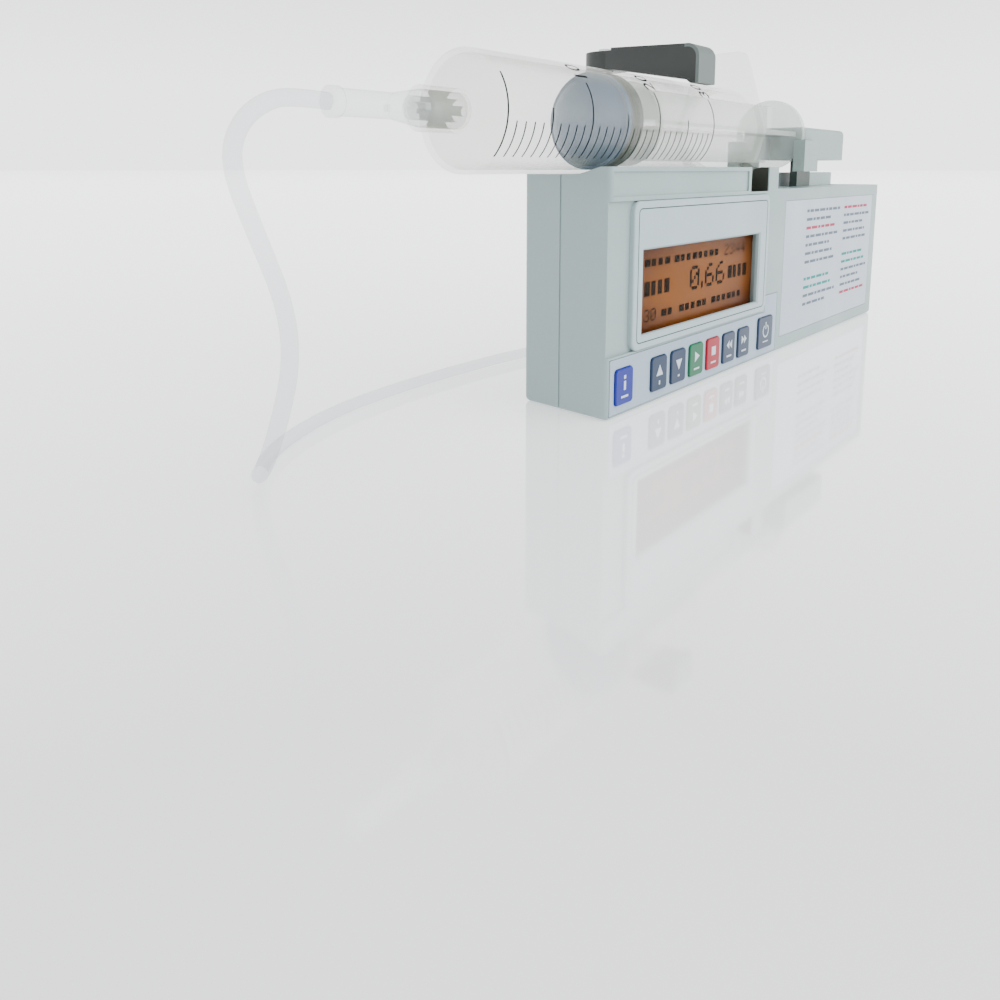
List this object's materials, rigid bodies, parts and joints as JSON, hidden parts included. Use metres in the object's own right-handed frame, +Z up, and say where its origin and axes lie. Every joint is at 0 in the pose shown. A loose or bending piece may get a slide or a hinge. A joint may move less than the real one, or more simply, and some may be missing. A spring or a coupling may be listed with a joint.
{
  "type": "ambulatory syringe pump",
  "caption": "Battery powered syringe pump with a loaded syringe held by a clamp arm, a screw driven actuator, a keypad, a small screen and an infusion line.",
  "frame": {"origin": "middle of the case's resting face", "axes": "+X along the case from the syringe's nozzle towards the actuator, +Y from the keypad face to the back, +Z up"},
  "size_m": [0.2445, 0.0796, 0.0835],
  "materials": {
    "case_plastic": "fine satin",
    "bezel_plastic": "satin",
    "keypad_film": "smooth film",
    "key_slate": "smooth",
    "key_green": "smooth",
    "key_red": "smooth",
    "key_blue": "smooth",
    "label_film": "printed film",
    "window_clear": "clear",
    "lcd_amber": "backlit",
    "white_plastic": "matt",
    "dark_plastic": "fine texture",
    "actuator_plastic": "satin",
    "syringe_clear": "clear moulded",
    "stopper_rubber": "smooth silicone",
    "rod_plastic": "moulded",
    "luer_plastic": "translucent moulded",
    "line_pvc": "clear soft",
    "board_green": "solder resist",
    "chip_black": "moulded",
    "steel": "ground",
    "zinc_plate": "machined",
    "brass_part": "turned",
    "gear_plastic": "moulded",
    "spring_steel": "drawn",
    "battery_skin": "printed",
    "nickel": "plated"
  },
  "bodies": {
    "case": {"front_shell": "case_plastic", "rear_shell": "case_plastic", "screen_bezel": "bezel_plastic", "screen_window": "window_clear", "display_glass": "lcd_amber", "display_frame": "white_plastic", "keypad_panel": "keypad_film", "instruction_label": "label_film", "syringe_barrel": "syringe_clear", "line_connector": "luer_plastic", "infusion_line": "line_pvc", "line_coil": "line_pvc", "line_end_connector": "luer_plastic", "keypad_board": "board_green", "dome_contacts": "nickel", "main_board": "board_green", "board_chips": "chip_black", "buzzer": "chip_black", "drive_chassis": "zinc_plate", "left_bush": "brass_part", "right_bush": "brass_part", "guide_rod": "steel", "gear_motor": "zinc_plate", "idler_pin": "steel", "post_bush": "white_plastic", "clamp_spring": "spring_steel", "post_plug": "case_plastic", "battery_tray": "dark_plastic", "battery": "battery_skin", "battery_terminals": "nickel", "battery_contacts": "nickel", "case_screws": "steel"},
    "lead_screw_body": {"lead_screw": "steel", "screw_gear": "brass_part", "encoder_disc": "dark_plastic"},
    "idler": {"idler_gear": "gear_plastic"},
    "pinion": {"output_shaft": "steel", "drive_pinion": "brass_part"},
    "actuator": {"actuator_housing": "actuator_plastic", "clamp_pins": "steel", "screw_carriage": "dark_plastic"},
    "plunger": {"plunger_rod": "rod_plastic", "stopper": "stopper_rubber"},
    "front_clamp": {"front_plunger_clamp": "actuator_plastic"},
    "rear_clamp": {"rear_plunger_clamp": "actuator_plastic"},
    "disc_button": {"plunger_sensor": "dark_plastic"},
    "collar_button": {"collar_sensor": "dark_plastic"},
    "clamp_post_body": {"clamp_post": "steel", "arm_screw": "steel"},
    "arm": {"clamp_arm": "dark_plastic", "arm_end_cap": "actuator_plastic"},
    "door": {"battery_door": "case_plastic"},
    "key_info_body": {"key_info": "key_blue"},
    "key_up_body": {"key_up": "key_slate"},
    "key_down_body": {"key_down": "key_slate"},
    "key_start_body": {"key_start": "key_green"},
    "key_stop_body": {"key_stop": "key_red"},
    "key_back_body": {"key_back": "key_slate"},
    "key_forward_body": {"key_forward": "key_slate"},
    "key_power_body": {"key_power": "key_slate"}
  },
  "joints": [
    {"name": "actuator_slide", "type": "slide", "parent": "case", "child": "actuator", "axis": [1, 0, 0], "range_m": [-0.018, 0.025]},
    {"name": "plunger_slide", "type": "slide", "parent": "case", "child": "plunger", "axis": [1, 0, 0], "range_m": [-0.01801, 0.02501]},
    {"name": "lead_screw_spin", "type": "hinge", "parent": "case", "child": "lead_screw_body", "pos_m": [0.0355, 0.0013, 0.0374], "axis": [1, 0, 0], "range_deg": [-3241, 4501]},
    {"name": "idler_spin", "type": "hinge", "parent": "case", "child": "idler", "pos_m": [0.0065, 0.0013, 0.02368], "axis": [1, 0, 0], "range_deg": [-4001, 2881]},
    {"name": "pinion_spin", "type": "hinge", "parent": "case", "child": "pinion", "pos_m": [0.0065, 0.0013, 0.01156], "axis": [1, 0, 0], "range_deg": [-4321, 6001]},
    {"name": "front_clamp_open", "type": "hinge", "parent": "actuator", "child": "front_clamp", "pos_m": [0.0255, -0.0069, 0.056], "axis": [0, 0, 1], "range_deg": [0, 30], "stiffness_Nm_per_rad": 0.02},
    {"name": "rear_clamp_open", "type": "hinge", "parent": "actuator", "child": "rear_clamp", "pos_m": [0.0255, 0.0095, 0.056], "axis": [0, 0, 1], "range_deg": [-30, 0], "stiffness_Nm_per_rad": 0.02},
    {"name": "disc_button_press", "type": "slide", "parent": "actuator", "child": "disc_button", "axis": [1, 0, 0], "range_m": [0, 0.0004], "stiffness_N_per_m": 300},
    {"name": "collar_button_press", "type": "slide", "parent": "case", "child": "collar_button", "axis": [1, 0, 0], "range_m": [0, 0.0007], "stiffness_N_per_m": 300},
    {"name": "clamp_lift", "type": "slide", "parent": "case", "child": "clamp_post_body", "axis": [0, 0, 1], "range_m": [0, 0.014], "stiffness_N_per_m": 150, "springref_m": -0.02, "deforming": ["clamp_spring"]},
    {"name": "clamp_swing", "type": "hinge", "parent": "clamp_post_body", "child": "arm", "pos_m": [-0.0486, 0.0159, 0.079], "axis": [0, 0, 1], "range_deg": [0, 180.1]},
    {"name": "battery_door_slide", "type": "slide", "parent": "case", "child": "door", "axis": [1, 0, 0], "range_m": [0, 0.055]},
    {"name": "key_info_press", "type": "slide", "parent": "case", "child": "key_info_body", "axis": [0, 1, 0], "range_m": [0, 0.0006], "stiffness_N_per_m": 800},
    {"name": "key_up_press", "type": "slide", "parent": "case", "child": "key_up_body", "axis": [0, 1, 0], "range_m": [0, 0.0006], "stiffness_N_per_m": 800},
    {"name": "key_down_press", "type": "slide", "parent": "case", "child": "key_down_body", "axis": [0, 1, 0], "range_m": [0, 0.0006], "stiffness_N_per_m": 800},
    {"name": "key_start_press", "type": "slide", "parent": "case", "child": "key_start_body", "axis": [0, 1, 0], "range_m": [0, 0.0006], "stiffness_N_per_m": 800},
    {"name": "key_stop_press", "type": "slide", "parent": "case", "child": "key_stop_body", "axis": [0, 1, 0], "range_m": [0, 0.0006], "stiffness_N_per_m": 800},
    {"name": "key_back_press", "type": "slide", "parent": "case", "child": "key_back_body", "axis": [0, 1, 0], "range_m": [0, 0.0006], "stiffness_N_per_m": 800},
    {"name": "key_forward_press", "type": "slide", "parent": "case", "child": "key_forward_body", "axis": [0, 1, 0], "range_m": [0, 0.0006], "stiffness_N_per_m": 800},
    {"name": "key_power_press", "type": "slide", "parent": "case", "child": "key_power_body", "axis": [0, 1, 0], "range_m": [0, 0.0006], "stiffness_N_per_m": 800}
  ],
  "couplings": [
    {"joint": "lead_screw_spin", "follows": "actuator_slide", "rad_per_m": 3141.6},
    {"joint": "plunger_slide", "follows": "actuator_slide", "ratio": 1},
    {"joint": "idler_spin", "follows": "actuator_slide", "rad_per_m": -2792.5},
    {"joint": "pinion_spin", "follows": "actuator_slide", "rad_per_m": 4188.8},
    {"joint": "rear_clamp_open", "follows": "front_clamp_open", "ratio": -1},
    {"joint": "clamp_swing", "follows": "clamp_lift", "rad_per_m": 224.4}
  ]
}
